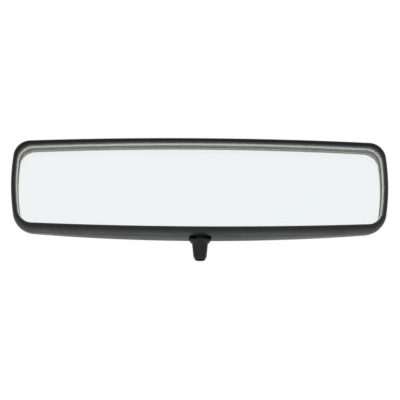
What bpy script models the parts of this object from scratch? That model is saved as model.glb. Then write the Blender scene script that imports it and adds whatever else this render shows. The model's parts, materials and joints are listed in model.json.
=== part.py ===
"""Interior rearview mirror: prismatic day/night head on a double-ball arm.

Metres, +Z up. The origin is the centre of the windshield button's bonding face,
+X runs along the mirror and the glass faces -Y. Head parts are drawn in the head's
own frame, whose origin is the centre of the glass front.
"""
import math
from collections import namedtuple

import bmesh
import bpy
from mathutils import Matrix, Vector

MM = 0.001
GAP = 0.3 * MM                      # clearance between neighbouring pieces

# Outline of one section of the head: sizes from the glass centre, all in metres.
Outline = namedtuple(
    "Outline",
    "half_width top bottom top_radius bottom_radius top_crown bottom_crown side_crown",
)
OPENING = Outline(*(v * MM for v in (121.0, 28.6, 26.9, 10.2, 11.8, 2350, 3000, 130)))
RIM = Outline(*(v * MM for v in (124.9, 33.5, 31.7, 10.5, 12.5, 2800, 3000, 135)))
BELLY = Outline(*(v * MM for v in (125.0, 33.9, 33.7, 10.5, 13.5, 2500, 1460, 135)))
SIDE_RISE = 3 * MM                  # the sides bulge most above mid height
LONG_STEPS = 6                      # segments of half a top or bottom edge
CORNER_STEPS = 6
SIDE_STEPS = 4

# Depths of the head, along +Y from the glass front
LIP_FRONT = -5.7 * MM
LIP_WALL_FRONT = -5.2 * MM          # where the opening's wall meets the lip's nose
LIP_NOSE = -5.6 * MM
LIP_NOSE_SHARE = 0.3
LIP_TIP = 0.95 * MM                 # the lip's crest, outward from its inner edge
FACE_STEPS = 5
RIM_Y = 6.2 * MM                    # parting line of bezel and housing
POCKET = 1.7 * MM                   # glass pocket wall, outward from the opening
TONGUE = 2.3 * MM
TONGUE_END = 8.2 * MM
REBATE = 1.2 * MM                   # housing wall where the tongue sits inside it
REBATE_END = 8.6 * MM
WALL = 2.2 * MM
BELLY_Y = 16.5 * MM
DOME_DEPTH = 9.5 * MM
DOME_INSET = 26.0 * MM
DOME_SPREAD = 90.0                  # extra end inset, per metre of inset squared
DOME_POWER = 2.6
DOME_STEPS = (0.04, 0.12, 0.26, 0.48, 0.74, 1.0)
DOME_CORNER = 6.5 * MM

# Glass, silver, foam and carrier
GLASS_MARGIN = 1.4 * MM
GLASS_MID = 4.0 * MM                # thickness at mid height
GLASS_TAPER = math.radians(1.95)    # the prism: thick at the top
GLASS_CHAMFER = 0.5 * MM
SILVER_INSET = 0.8 * MM
SILVER_THICKNESS = 0.4 * MM
FOAM_HALF = Vector((96 * MM, 0, 22 * MM))
PLATE_MARGIN = 0.8 * MM
PLATE_FRONT = 7.2 * MM
PLATE_BACK = 8.8 * MM
SCREW_X = 104 * MM
SCREW_Z = 17 * MM
SCREW_RADIUS = 1.2 * MM
SCREW_HEAD_RADIUS = 2.6 * MM
SCREW_HEAD_HEIGHT = 1.2 * MM
SCREW_END = 18 * MM
BOSS_RADIUS = 3.5 * MM
BOSS_END = 23.9 * MM
BOSS_HOLE_END = 19 * MM

# Day/night mechanism
TILT_AXIS = Vector((0, 14.25, 16)) * MM
ROD_RADIUS = 1.5 * MM
ROD_HALF = 27.5 * MM
EAR_X = (23 * MM, 26 * MM)
EAR_BACK = 18 * MM
EAR_HALF_HEIGHT = 5.5 * MM
KNUCKLE_RADIUS = 3.4 * MM
BRACKET_HALF_WIDTH = 22 * MM
BRACKET_Y = (13 * MM, 15.5 * MM)
BRACKET_FOOT = -11 * MM
LEVER_AXIS = Vector((0, 13, -23)) * MM
CRANK_LENGTH = 6.6 * MM
CRANK_RADIUS = 1.5 * MM
CRANK_HALF = 3.5 * MM
CRANK_WEB = Vector((1.5, 0.8, 0)) * MM
HUB_RADIUS = 2.8 * MM
HUB_HALF = 5.5 * MM
PIN_RADIUS = 1.2 * MM
PIN_HALF = 9.5 * MM
LEVER_EAR_X = (6.2 * MM, 8.7 * MM)
LEVER_EAR_BACK = 16 * MM
LEVER_EAR_HALF_HEIGHT = 3.6 * MM
FORK_HALF = Vector((4.0, 3.4, 0)) * MM
FORK_Z = (-18.4 * MM, -10 * MM)
FORK_NOTCH_TOP = -13.5 * MM
STEM_HALF = Vector((2.5, 1.6, 0)) * MM
STEM_END = -41.2 * MM
SLOT_RADIUS = 7.5 * MM
SLOT_Y = (9.6 * MM, 14 * MM)
SLOT_Z = (-37 * MM, -29 * MM)
NOTCH_TOP = -30.4 * MM              # the slot's shallow end in the bezel
DETENT_HALF_WIDTH = 4 * MM
DETENT_Z = (-27 * MM, -20.2 * MM)
DETENT_THICKNESS = 0.5 * MM
GRIP_POCKET_RADIUS = 3.3 * MM
GRIP_POCKET_END = -41.6 * MM
# (radius, height) of the grip's outside, from the collar's top to its rounded end
GRIP_PROFILE = tuple(
    (r * MM, z * MM)
    for r, z in (
        (6.3, -32.9), (7.2, -33.2), (7.2, -33.6), (5.6, -35.6), (5.25, -36.3),
        (4.35, -44.6), (4.15, -45.6), (3.4, -46.8), (2.2, -47.5), (0, -47.7),
    )
)

# Double-ball arm
HEAD_BALL = Vector((0, 42, 4)) * MM
ARM_RISE = math.radians(12)
ARM_LENGTH = 46 * MM
BALL_RADIUS = 7.5 * MM
NECK_RADIUS = 2.8 * MM
LINER_INNER = BALL_RADIUS + GAP
LINER_OUTER = LINER_INNER + 0.6 * MM
LINER_SPAN = (math.radians(60), math.radians(108))
SEAT_RADIUS = LINER_OUTER + GAP
SEAT_MOUTH = math.radians(65)
CUP_RADIUS = 10.4 * MM
MOUTH_RADIUS = 9.6 * MM
WAIST_RADIUS = 8.6 * MM
BORE_RADIUS = 6.2 * MM
PLUG_RADIUS = BORE_RADIUS - GAP
PLUG_END = 12 * MM
PLUG_NOSE_RADIUS = 3.2 * MM
PLUG_NOSE_END = 14 * MM
COIL_RADIUS = 4.6 * MM
WIRE_RADIUS = 0.9 * MM
COIL_TURNS = 5
COIL_SEGMENTS = 14
BALL_STEPS = 9
TURN_SEGMENTS = 28

# Head stud, which is riveted through the bracket
STUD_SHOULDER_RADIUS = 5 * MM
STUD_SHOULDER_BACK = 18 * MM
STUD_TENON_RADIUS = 2.2 * MM
STUD_TENON_FRONT = 11.4 * MM
NUT_RADIUS = 5 * MM
NUT_FRONT = 10.4 * MM
REAR_OPENING_RADIUS = 7 * MM

# Windshield mount: its frame has Z out of the glass and Y down the slope
HEAD_CENTRE = Vector((0, -112, -31)) * MM
GLASS_SLOPE = math.radians(30)
BUTTON_HALF_LENGTH = 13 * MM
BUTTON_TOP_HALF = 9 * MM
BUTTON_BASE_HALF = 10.8 * MM
BUTTON_THICKNESS = 4.5 * MM
CASTING_HALF_WIDTH = 15 * MM
CASTING_Y = (-9 * MM, 20 * MM)
CASTING_Z = (-14 * MM, -0.6 * MM)
CASTING_BEVEL = 1.6 * MM
CASTING_BOSS_RADIUS = 6.2 * MM
CASTING_BOSS = (14 * MM, 23 * MM)
MOUNT_SHANK_RADIUS = 3 * MM
MOUNT_SHANK_END = 21 * MM
MOUNT_FLANGE_RADIUS = 5.2 * MM
MOUNT_FLANGE = (11.9 * MM, 13.7 * MM)
SET_SCREW_RADIUS = 2 * MM
SET_SCREW_Y = 9 * MM
SET_SCREW_Z = (-13.6 * MM, -4.8 * MM)
SOCKET_RADIUS = 1.1 * MM
SOCKET_DEPTH = 3 * MM


# ---------------------------------------------------------------- building blocks

def clear_scene():
    for item in list(bpy.data.objects):
        bpy.data.objects.remove(item, do_unlink=True)


def material(name, colour, roughness, metallic=0.0):
    made = bpy.data.materials.new(name)
    made.use_nodes = True
    shader = made.node_tree.nodes["Principled BSDF"]
    shader.inputs["Base Color"].default_value = (*colour, 1)
    shader.inputs["Roughness"].default_value = roughness
    shader.inputs["Metallic"].default_value = metallic
    return made


def empty(name, location=(0, 0, 0), tilt=0.0, parent=None):
    made = bpy.data.objects.new(name, None)
    bpy.context.collection.objects.link(made)
    made.parent = parent
    made.location = location
    made.rotation_euler.x = tilt
    return made


def finish_mesh(name, bm, parent, finish, pivot=(0, 0, 0)):
    """Turn a bmesh into an object whose origin is pivot, in its parent's frame."""
    bmesh.ops.recalc_face_normals(bm, faces=bm.faces)
    bmesh.ops.translate(bm, verts=bm.verts, vec=-Vector(pivot))
    mesh = bpy.data.meshes.new(name)
    bm.to_mesh(mesh)
    bm.free()
    mesh.shade_smooth()
    mesh.set_sharp_from_angle(angle=math.radians(35))
    if finish:
        mesh.materials.append(finish)
    made = bpy.data.objects.new(name, mesh)
    bpy.context.collection.objects.link(made)
    made.parent = parent
    made.location = pivot
    return made


def boolean(piece, operation, tool):
    """Cut tool from piece, or join it on, and hide the tool."""
    tool.hide_render = True
    tool.display_type = "WIRE"
    step = piece.modifiers.new(tool.name, "BOOLEAN")
    step.operation = operation
    step.solver = "EXACT"
    step.object = tool


def box_mesh(low, high):
    bm = bmesh.new()
    centre = (Vector(low) + Vector(high)) / 2
    size = Vector(high) - Vector(low)
    place = Matrix.Translation(centre) @ Matrix.Diagonal((*size, 1))
    bmesh.ops.create_cube(bm, size=1, matrix=place)
    return bm


def rod_mesh(radius, start, end, segments=20):
    """A round bar from start to end."""
    bm = bmesh.new()
    run = Vector(end) - Vector(start)
    turn = run.to_track_quat("Z", "Y").to_matrix().to_4x4()
    place = Matrix.Translation((Vector(start) + Vector(end)) / 2) @ turn
    bmesh.ops.create_cone(
        bm, cap_ends=True, segments=segments, radius1=radius, radius2=radius,
        depth=run.length, matrix=place,
    )
    return bm


def turned_mesh(profile, closed=False, segments=TURN_SEGMENTS):
    """Spin a (radius, height) profile about Z; a closed profile makes a ring."""
    bm = bmesh.new()
    verts = [bm.verts.new((radius, 0, height)) for radius, height in profile]
    edges = [bm.edges.new(pair) for pair in zip(verts, verts[1:])]
    if closed:
        edges.append(bm.edges.new((verts[-1], verts[0])))
    bmesh.ops.spin(
        bm, geom=verts + edges, cent=(0, 0, 0), axis=(0, 0, 1),
        angle=math.tau, steps=segments, use_merge=True,
    )
    bmesh.ops.remove_doubles(bm, verts=bm.verts, dist=0.001 * MM)
    return bm


def loft_mesh(loops, closed=False):
    """Skin matching loops of points; open ends are capped."""
    bm = bmesh.new()
    rings = [[bm.verts.new(point) for point in loop] for loop in loops]
    following = rings[1:] + rings[:1] if closed else rings[1:]
    for ring, other in zip(rings, following):
        for i in range(len(ring)):
            bm.faces.new((ring[i - 1], ring[i], other[i], other[i - 1]))
    if not closed:
        bm.faces.new(rings[0])
        bm.faces.new(rings[-1])
    return bm


# ---------------------------------------------------------------- outlines

def grown(outline, margin):
    """The same outline, moved outward by margin."""
    return Outline(*(value + margin for value in outline))


def mixed(first, second, share):
    return Outline(*(a + (b - a) * share for a, b in zip(first, second)))


def meeting_point(first, first_radius, second, second_radius, upward):
    """Where two circles cross, on the +X side of the line through their centres."""
    span = second - first
    gap = span.length
    along = (gap ** 2 + first_radius ** 2 - second_radius ** 2) / (2 * gap)
    across = math.sqrt(first_radius ** 2 - along ** 2)
    direction = span / gap
    side = Vector((direction.y, -direction.x)) * (-1 if upward else 1)
    crossing = first + direction * along + side * across
    return crossing


def arc(centre, radius, start, end, steps):
    """Points along an arc, without its last one."""
    angles = [start + (end - start) * i / steps for i in range(steps)]
    return [(centre.x + radius * math.cos(a), centre.y + radius * math.sin(a)) for a in angles]


def heading(start, end):
    run = end - start
    return math.atan2(run.y, run.x)


def outline_loop(outline, depth):
    """Closed loop of points at the given depth: five tangent arcs, mirrored."""
    bulge = (outline.top - outline.bottom) / 2 + SIDE_RISE
    side = Vector((outline.half_width - outline.side_crown, bulge))
    top = Vector((0, outline.top - outline.top_crown))
    bottom = Vector((0, outline.bottom_crown - outline.bottom))
    upper = meeting_point(
        side, outline.side_crown - outline.top_radius,
        top, outline.top_crown - outline.top_radius, True,
    )
    lower = meeting_point(
        side, outline.side_crown - outline.bottom_radius,
        bottom, outline.bottom_crown - outline.bottom_radius, False,
    )
    turns = (
        -math.pi / 2, heading(bottom, lower), heading(side, lower),
        heading(side, upper), heading(top, upper), math.pi / 2,
    )
    right = arc(bottom, outline.bottom_crown, turns[0], turns[1], LONG_STEPS)
    right += arc(lower, outline.bottom_radius, turns[1], turns[2], CORNER_STEPS)
    right += arc(side, outline.side_crown, turns[2], turns[3], SIDE_STEPS)
    right += arc(upper, outline.top_radius, turns[3], turns[4], CORNER_STEPS)
    right += arc(top, outline.top_crown, turns[4], turns[5], LONG_STEPS)
    left = [(-x, z) for x, z in reversed(right[1:])]
    loop = right + [(0, outline.top)] + left
    if callable(depth):
        return [Vector((x, depth(z), z)) for x, z in loop]
    return [Vector((x, depth, z)) for x, z in loop]


# ---------------------------------------------------------------- the head's shells

def bezel_ring(frame, finish):
    """Front frame: a rounded lip over the glass, a curved face and a tongue behind."""
    crest = grown(OPENING, LIP_TIP)
    loops = [
        outline_loop(OPENING, -GAP),
        outline_loop(OPENING, LIP_WALL_FRONT),
        outline_loop(grown(OPENING, LIP_NOSE_SHARE * LIP_TIP), LIP_NOSE),
        outline_loop(crest, LIP_FRONT),
    ]
    for step in range(1, FACE_STEPS + 1):
        turn = math.pi / 2 * step / FACE_STEPS
        depth = LIP_FRONT + (RIM_Y - LIP_FRONT) * (1 - math.cos(turn))
        loops.append(outline_loop(mixed(crest, RIM, math.sin(turn)), depth))
    loops += [
        outline_loop(grown(OPENING, TONGUE), RIM_Y),
        outline_loop(grown(OPENING, TONGUE), TONGUE_END),
        outline_loop(grown(OPENING, POCKET), TONGUE_END),
        outline_loop(grown(OPENING, POCKET), -GAP),
    ]
    ring = finish_mesh("bezel_ring", loft_mesh(loops, closed=True), frame, finish)
    notch = finish_mesh("grip_notch", slot_mesh(NOTCH_TOP), frame, None)
    boolean(ring, "DIFFERENCE", notch)
    return ring


def wall_outline(depth):
    """Outer outline of the housing between the parting line and its widest section."""
    share = (depth - RIM_Y) / (BELLY_Y - RIM_Y)
    return mixed(RIM, BELLY, math.sin(share * math.pi / 2))


def dome_loop(wall, share):
    """One loop of the domed back: share runs from the belly to the flat centre."""
    outline = grown(BELLY, -wall)
    inset = (DOME_INSET - wall) * share
    corner = outline.top_radius + (DOME_CORNER - outline.top_radius) * share
    low_corner = outline.bottom_radius + (DOME_CORNER - outline.bottom_radius) * share
    shrunk = outline._replace(
        half_width=outline.half_width - inset - DOME_SPREAD * inset ** 2,
        top=outline.top - inset, bottom=outline.bottom - inset,
        top_radius=corner, bottom_radius=low_corner,
    )
    rise = (1 - (1 - share) ** DOME_POWER) ** (1 / DOME_POWER)
    return outline_loop(shrunk, BELLY_Y + (DOME_DEPTH - wall) * rise)


def rear_housing(frame, finish):
    """Domed rear shell with screw bosses, the arm's opening and the lever's slot."""
    depths = [RIM_Y + GAP + (BELLY_Y - RIM_Y - GAP) * i / 3 for i in range(4)]
    outside = [dome_loop(0, share) for share in reversed(DOME_STEPS)]
    outside += [outline_loop(wall_outline(depth), depth) for depth in reversed(depths)]
    rebate = grown(wall_outline(REBATE_END), -REBATE)
    inside = [
        outline_loop(grown(wall_outline(depths[0]), -REBATE), depths[0]),
        outline_loop(rebate, REBATE_END),
        outline_loop(grown(wall_outline(REBATE_END), -WALL), REBATE_END),
        outline_loop(grown(BELLY, -WALL), BELLY_Y),
    ]
    inside += [dome_loop(WALL, share) for share in DOME_STEPS[1:]]
    shell = finish_mesh("rear_housing", loft_mesh(outside + inside), frame, finish)
    for number, (x, z) in enumerate(screw_places(), 1):
        front = PLATE_BACK + GAP
        post = rod_mesh(BOSS_RADIUS, (x, front, z), (x, BOSS_END, z), 16)
        boolean(shell, "UNION", finish_mesh(f"boss_{number}", post, frame, None))
        hole = rod_mesh(SCREW_RADIUS + GAP, (x, front - 1 * MM, z), (x, BOSS_HOLE_END, z), 12)
        boolean(shell, "DIFFERENCE", finish_mesh(f"boss_hole_{number}", hole, frame, None))
    opening = rod_mesh(
        REAR_OPENING_RADIUS,
        (0, BELLY_Y, HEAD_BALL.z), (0, BELLY_Y + 2 * DOME_DEPTH, HEAD_BALL.z), 28,
    )
    boolean(shell, "DIFFERENCE", finish_mesh("arm_opening", opening, frame, None))
    boolean(shell, "DIFFERENCE", finish_mesh("lever_slot", slot_mesh(SLOT_Z[1]), frame, None))
    return shell


def slot_mesh(top):
    """Round-ended slot along Y, which the lever swings in."""
    steps = 12
    bm = bmesh.new()
    ring = []
    for y, start in ((SLOT_Y[1], 0.0), (SLOT_Y[0], math.pi)):
        for i in range(steps + 1):
            turn = start + math.pi * i / steps
            x = SLOT_RADIUS * math.cos(turn)
            ring.append(bm.verts.new((x, y + SLOT_RADIUS * math.sin(turn), SLOT_Z[0])))
    face = bm.faces.new(ring)
    raised = bmesh.ops.extrude_face_region(bm, geom=[face])
    lid = [item for item in raised["geom"] if isinstance(item, bmesh.types.BMVert)]
    bmesh.ops.translate(bm, verts=lid, vec=(0, 0, top - SLOT_Z[0]))
    return bm


def screw_places():
    return [(x, z) for x in (-SCREW_X, SCREW_X) for z in (-SCREW_Z, SCREW_Z)]


# ---------------------------------------------------------------- glass and carrier

def glass_back(z):
    return GLASS_MID + z * math.tan(GLASS_TAPER)


def prism_glass(frame, finish):
    outline = grown(OPENING, GLASS_MARGIN)
    inner = grown(outline, -GLASS_CHAMFER)
    loops = [
        outline_loop(inner, 0),
        outline_loop(outline, GLASS_CHAMFER),
        outline_loop(outline, lambda z: glass_back(z) - GLASS_CHAMFER),
        outline_loop(inner, glass_back),
    ]
    return finish_mesh("prism_glass", loft_mesh(loops), frame, finish)


def silver_backing(frame, finish):
    """Reflecting coat and its paint, parallel to the back of the prism."""
    outline = grown(OPENING, GLASS_MARGIN - SILVER_INSET)
    loops = [
        outline_loop(outline, lambda z: glass_back(z) + GAP),
        outline_loop(outline, lambda z: glass_back(z) + GAP + SILVER_THICKNESS),
    ]
    return finish_mesh("silver_backing", loft_mesh(loops), frame, finish)


def foam_pad(frame, finish):
    """Adhesive foam that fills the wedge between the silver and the carrier."""
    bm = box_mesh((-FOAM_HALF.x, 0, -FOAM_HALF.z), (FOAM_HALF.x, PLATE_FRONT - GAP, FOAM_HALF.z))
    for vert in bm.verts:
        if vert.co.y < PLATE_FRONT / 2:
            vert.co.y = glass_back(vert.co.z) + SILVER_THICKNESS + 2 * GAP
    return finish_mesh("foam_pad", bm, frame, finish)


def carrier_plate(frame, finish):
    """Plate behind the glass, with ears for the tilt rod and the lever's pin."""
    outline = grown(OPENING, PLATE_MARGIN)
    loops = [outline_loop(outline, PLATE_FRONT), outline_loop(outline, PLATE_BACK)]
    plate = finish_mesh("carrier_plate", loft_mesh(loops), frame, finish)
    ears = (
        (EAR_X, EAR_BACK, TILT_AXIS.z, EAR_HALF_HEIGHT),
        (LEVER_EAR_X, LEVER_EAR_BACK, LEVER_AXIS.z, LEVER_EAR_HALF_HEIGHT),
    )
    for number, (span, back, middle, half) in enumerate(ears, 1):
        for side in (-1, 1):
            low_x, high_x = sorted((side * span[0], side * span[1]))
            low = (low_x, PLATE_BACK - 0.5 * MM, middle - half)
            high = (high_x, back, middle + half)
            name = f"ear_{number}_{'left' if side < 0 else 'right'}"
            boolean(plate, "UNION", finish_mesh(name, box_mesh(low, high), frame, None))
    for name, centre, radius, reach in (
        ("rod_hole", TILT_AXIS, ROD_RADIUS, EAR_X[1]),
        ("pin_hole", LEVER_AXIS, PIN_RADIUS, LEVER_EAR_X[1]),
    ):
        across = Vector((reach + 1 * MM, 0, 0))
        hole = rod_mesh(radius + GAP, centre - across, centre + across, 16)
        boolean(plate, "DIFFERENCE", finish_mesh(name, hole, frame, None))
    for number, (x, z) in enumerate(screw_places(), 1):
        ends = (x, PLATE_FRONT - 1 * MM, z), (x, PLATE_BACK + 1 * MM, z)
        hole = rod_mesh(SCREW_RADIUS + GAP, *ends, 12)
        boolean(plate, "DIFFERENCE", finish_mesh(f"plate_hole_{number}", hole, frame, None))
    return plate


def carrier_screws(frame, finish):
    """Four pan-head screws, driven from the front into the housing's bosses."""
    head = PLATE_FRONT - GAP
    for number, (x, z) in enumerate(screw_places(), 1):
        profile = (
            (0, head - SCREW_HEAD_HEIGHT), (0.7 * SCREW_HEAD_RADIUS, head - SCREW_HEAD_HEIGHT),
            (SCREW_HEAD_RADIUS, head - 0.4 * SCREW_HEAD_HEIGHT), (SCREW_HEAD_RADIUS, head),
            (SCREW_RADIUS, head), (SCREW_RADIUS, SCREW_END - SCREW_RADIUS), (0, SCREW_END),
        )
        bm = turned_mesh(profile, segments=12)
        screw = finish_mesh(f"carrier_screw_{number}", bm, frame, finish)
        screw.rotation_euler.x = -math.pi / 2
        screw.location = (x, 0, z)


# ---------------------------------------------------------------- day/night mechanism

def across_x(radius, half_length, centre, segments):
    reach = Vector((half_length, 0, 0))
    return rod_mesh(radius, centre - reach, centre + reach, segments)


def tilt_pivot_rod(frame, finish):
    bm = across_x(ROD_RADIUS, ROD_HALF, TILT_AXIS, 16)
    return finish_mesh("tilt_pivot_rod", bm, frame, finish, TILT_AXIS)


def lever_pivot_pin(frame, finish):
    bm = across_x(PIN_RADIUS, PIN_HALF, LEVER_AXIS, 16)
    return finish_mesh("lever_pivot_pin", bm, frame, finish, LEVER_AXIS)


def toggle_spring(frame, finish):
    """Leaf that bears on the lever's hub and holds it at either end of its throw."""
    front = PLATE_BACK + GAP
    low = (-DETENT_HALF_WIDTH, front, DETENT_Z[0])
    high = (DETENT_HALF_WIDTH, front + DETENT_THICKNESS, DETENT_Z[1])
    return finish_mesh("toggle_spring", box_mesh(low, high), frame, finish)


def toggle_lever(frame, finish):
    """Bell crank: hub on the pin, crank bar in the bracket's fork, stem in the grip."""
    pivot = LEVER_AXIS
    lever = finish_mesh(
        "toggle_lever", across_x(HUB_RADIUS, HUB_HALF, pivot, 24), frame, finish, pivot)
    stem = box_mesh(
        (-STEM_HALF.x, pivot.y - STEM_HALF.y, STEM_END),
        (STEM_HALF.x, pivot.y + STEM_HALF.y, pivot.z - HUB_RADIUS / 2),
    )
    boolean(lever, "UNION", finish_mesh("lever_stem", stem, frame, None))
    tip = pivot + Vector((0, 0, CRANK_LENGTH))
    web = box_mesh(
        (-CRANK_WEB.x, pivot.y - CRANK_WEB.y, pivot.z + HUB_RADIUS / 2),
        (CRANK_WEB.x, pivot.y + CRANK_WEB.y, tip.z),
    )
    boolean(lever, "UNION", finish_mesh("crank_web", web, frame, None))
    bar = across_x(CRANK_RADIUS, CRANK_HALF, tip, 16)
    boolean(lever, "UNION", finish_mesh("crank_bar", bar, frame, None))
    bore = across_x(PIN_RADIUS + GAP, HUB_HALF + 1 * MM, pivot, 16)
    boolean(lever, "DIFFERENCE", finish_mesh("lever_bore", bore, frame, None))
    return lever


def toggle_grip(frame, finish):
    """Collar and tapered finger tab, hollow where the lever's stem is pressed in."""
    inner = (
        (0, GRIP_POCKET_END), (GRIP_POCKET_RADIUS, GRIP_POCKET_END),
        (GRIP_POCKET_RADIUS, GRIP_PROFILE[0][1]),
    )
    bm = turned_mesh(inner + GRIP_PROFILE)
    bmesh.ops.translate(bm, verts=bm.verts, vec=(0, LEVER_AXIS.y, 0))
    return finish_mesh("toggle_grip", bm, frame, finish, LEVER_AXIS)


def pivot_bracket(frame, finish):
    """Steel plate with a knuckle on the tilt rod and a fork around the crank bar."""
    knuckle = across_x(KNUCKLE_RADIUS, BRACKET_HALF_WIDTH, TILT_AXIS, 24)
    bracket = finish_mesh("pivot_bracket", knuckle, frame, finish, TILT_AXIS)
    plate = box_mesh(
        (-BRACKET_HALF_WIDTH + 1 * MM, BRACKET_Y[0], BRACKET_FOOT),
        (BRACKET_HALF_WIDTH - 1 * MM, BRACKET_Y[1], TILT_AXIS.z),
    )
    boolean(bracket, "UNION", finish_mesh("bracket_plate", plate, frame, None))
    middle = LEVER_AXIS.y
    fork = box_mesh(
        (-FORK_HALF.x, middle - FORK_HALF.y, FORK_Z[0]),
        (FORK_HALF.x, middle + FORK_HALF.y, FORK_Z[1]),
    )
    boolean(bracket, "UNION", finish_mesh("bracket_fork", fork, frame, None))
    notch = box_mesh(
        (-2 * FORK_HALF.x, middle - CRANK_RADIUS - GAP, FORK_Z[0] - 1 * MM),
        (2 * FORK_HALF.x, middle + CRANK_RADIUS + GAP, FORK_NOTCH_TOP),
    )
    boolean(bracket, "DIFFERENCE", finish_mesh("fork_notch", notch, frame, None))
    bore = across_x(ROD_RADIUS + GAP, BRACKET_HALF_WIDTH + 1 * MM, TILT_AXIS, 16)
    boolean(bracket, "DIFFERENCE", finish_mesh("knuckle_bore", bore, frame, None))
    centre = Vector((0, 0, HEAD_BALL.z))
    front = centre + Vector((0, BRACKET_Y[0] - 1 * MM, 0))
    back = centre + Vector((0, BRACKET_Y[1] + 1 * MM, 0))
    hole = rod_mesh(STUD_TENON_RADIUS + GAP, front, back, 20)
    boolean(bracket, "DIFFERENCE", finish_mesh("stud_hole", hole, frame, None))
    return bracket


# ---------------------------------------------------------------- double-ball arm

def ball_profile(neck_angle):
    """Half outline of a ball at the origin, from its far pole up to its neck."""
    angles = [math.pi - (math.pi - neck_angle) * i / BALL_STEPS for i in range(BALL_STEPS + 1)]
    points = [(BALL_RADIUS * math.sin(a), BALL_RADIUS * math.cos(a)) for a in angles]
    return [(0, -BALL_RADIUS)] + points[1:]


def head_ball_stud(frame, finish):
    """Ball, neck, shoulder behind the bracket and a tenon through it."""
    reach = HEAD_BALL.y
    shoulder = reach - STUD_SHOULDER_BACK
    seat = reach - BRACKET_Y[1] - GAP
    profile = ball_profile(math.asin(NECK_RADIUS / BALL_RADIUS)) + [
        (NECK_RADIUS, shoulder), (STUD_SHOULDER_RADIUS, shoulder),
        (STUD_SHOULDER_RADIUS, seat), (STUD_TENON_RADIUS, seat),
        (STUD_TENON_RADIUS, reach - STUD_TENON_FRONT), (0, reach - STUD_TENON_FRONT),
    ]
    stud = finish_mesh("head_ball_stud", turned_mesh(profile), frame, finish)
    stud.location = HEAD_BALL
    stud.rotation_euler.x = math.pi / 2
    return stud


def stud_nut(frame, finish):
    """Hexagon nut on the tenon, in front of the bracket."""
    back = BRACKET_Y[0] - GAP
    body = rod_mesh(NUT_RADIUS, (0, NUT_FRONT, HEAD_BALL.z), (0, back, HEAD_BALL.z), 6)
    nut = finish_mesh("stud_nut", body, frame, finish)
    ends = (0, NUT_FRONT - 1 * MM, HEAD_BALL.z), (0, back + 1 * MM, HEAD_BALL.z)
    hole = rod_mesh(STUD_TENON_RADIUS + GAP, *ends, 20)
    boolean(nut, "DIFFERENCE", finish_mesh("nut_hole", hole, frame, None))
    return nut


def sphere_arc(radius, start, end, steps):
    """Points of a sphere's outline, by angle from its +Z pole."""
    angles = [start + (end - start) * i / steps for i in range(steps + 1)]
    return [(radius * math.sin(a), radius * math.cos(a)) for a in angles]


def ball_liner(name, frame, finish, direction):
    """Nylon zone between ball and cup; direction is +1 for a mouth towards +Z."""
    steps = 6
    profile = sphere_arc(LINER_OUTER, *LINER_SPAN, steps)
    profile += sphere_arc(LINER_INNER, *reversed(LINER_SPAN), steps)
    profile = [(radius, direction * height) for radius, height in profile]
    return finish_mesh(name, turned_mesh(profile, closed=True), frame, finish)


def arm_tube(frame, finish):
    """Two cups joined by a waisted tube; its frame has the lower ball at z = 0."""
    bore_angle = math.pi - math.asin(BORE_RADIUS / SEAT_RADIUS)
    seat = sphere_arc(SEAT_RADIUS, SEAT_MOUTH, bore_angle, 7)
    lower = [(radius, -height) for radius, height in seat]
    upper = [(radius, ARM_LENGTH + height) for radius, height in reversed(seat)]
    mouth = SEAT_RADIUS * math.cos(SEAT_MOUTH)
    half = (
        (MOUTH_RADIUS, -mouth), (CUP_RADIUS, -mouth + 1.2 * MM), (CUP_RADIUS, 7 * MM),
        (WAIST_RADIUS + 0.6 * MM, 10.5 * MM), (WAIST_RADIUS, 14 * MM),
    )
    outside = [(radius, ARM_LENGTH - height) for radius, height in half]
    outside += [(radius, height) for radius, height in reversed(half)]
    return finish_mesh("arm_tube", turned_mesh(lower + upper + outside, closed=True), frame, finish)


def spring_plug(name, frame, finish, location, turn):
    """Plug with a hollow nose on the ball and a spigot inside the spring."""
    edge = math.asin(PLUG_RADIUS / LINER_INNER)
    profile = [(0, LINER_INNER)] + sphere_arc(LINER_INNER, edge / 3, edge, 2)
    profile += [
        (PLUG_RADIUS, PLUG_END), (PLUG_NOSE_RADIUS, PLUG_END),
        (PLUG_NOSE_RADIUS, PLUG_NOSE_END), (0, PLUG_NOSE_END),
    ]
    plug = finish_mesh(name, turned_mesh(profile, segments=24), frame, finish)
    plug.location = location
    plug.rotation_euler.x = turn
    return plug


def arm_spring(frame, finish):
    """Compression spring between the plugs, a tube swept along a helix."""
    length = ARM_LENGTH - 2 * (PLUG_END + GAP + WIRE_RADIUS)
    start = PLUG_END + GAP + WIRE_RADIUS
    count = COIL_TURNS * COIL_SEGMENTS
    curve = bpy.data.curves.new("arm_spring", "CURVE")
    curve.dimensions = "3D"
    curve.bevel_depth = WIRE_RADIUS
    curve.bevel_resolution = 1
    curve.use_fill_caps = True
    spline = curve.splines.new("POLY")
    spline.points.add(count)
    for i, point in enumerate(spline.points):
        turn = math.tau * i / COIL_SEGMENTS
        height = start + length * i / count
        point.co = (COIL_RADIUS * math.cos(turn), COIL_RADIUS * math.sin(turn), height, 1)
    curve.materials.append(finish)
    coil = bpy.data.objects.new("arm_spring", curve)
    bpy.context.collection.objects.link(coil)
    coil.parent = frame
    return coil


# ---------------------------------------------------------------- windshield mount

def mount_ball_stud(frame, finish):
    flange_low, flange_high = MOUNT_FLANGE
    profile = ball_profile(math.asin(NECK_RADIUS / BALL_RADIUS)) + [
        (NECK_RADIUS, flange_low), (MOUNT_FLANGE_RADIUS, flange_low),
        (MOUNT_FLANGE_RADIUS, flange_high), (MOUNT_SHANK_RADIUS, flange_high),
        (MOUNT_SHANK_RADIUS, MOUNT_SHANK_END), (0, MOUNT_SHANK_END),
    ]
    return finish_mesh("mount_ball_stud", turned_mesh(profile), frame, finish)


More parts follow.
